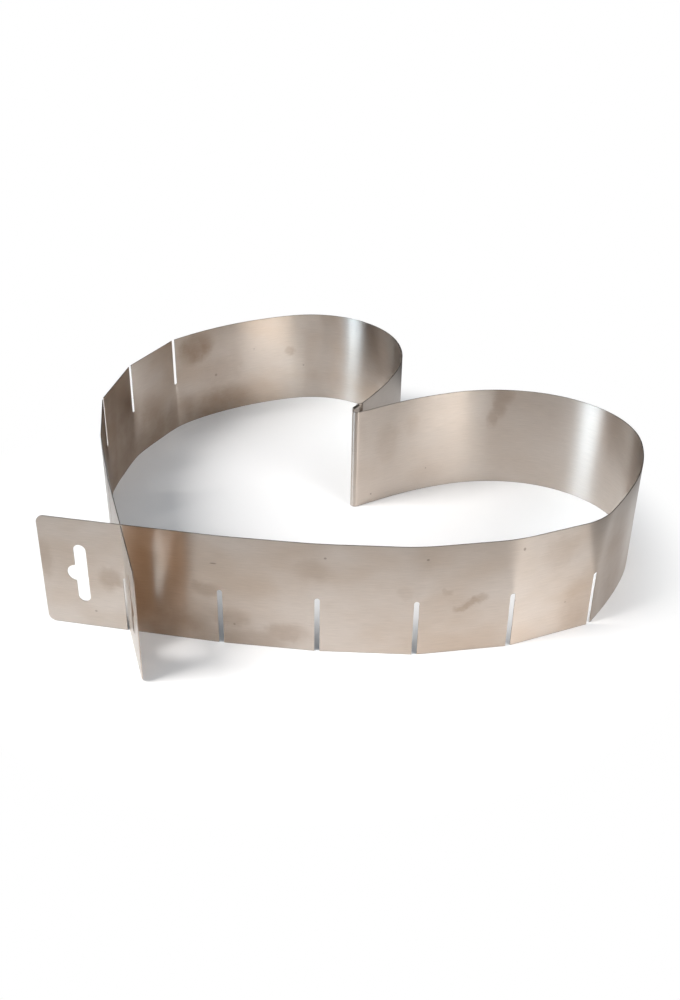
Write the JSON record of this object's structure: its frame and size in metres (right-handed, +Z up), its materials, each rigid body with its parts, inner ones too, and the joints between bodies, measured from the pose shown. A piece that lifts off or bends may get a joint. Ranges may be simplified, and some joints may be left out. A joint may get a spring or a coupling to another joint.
{
  "type": "flexible cake ring",
  "caption": "Open heart-shaped cake ring of thin brushed steel bands on edge, crossed in each other's slots at the point, with hanging tabs.",
  "frame": {"origin": "middle of the footprint, on the plane of the bottom edges", "axes": "+Z up, +X towards the right lobe, +Y towards the notch and the lobes' tops, so the heart's point is at -Y"},
  "size_m": [0.311, 0.2902, 0.06],
  "materials": {
    "steel": "satin, with a fine grain along the bands"
  },
  "bodies": {
    "left_band": {"left_band": "steel"},
    "right_band": {"right_band": "steel"}
  },
  "joints": [
    {"name": "lift_off", "type": "slide", "parent": "left_band", "child": "right_band", "axis": [0, 0, 1], "range_m": [0, 0.062]}
  ]
}
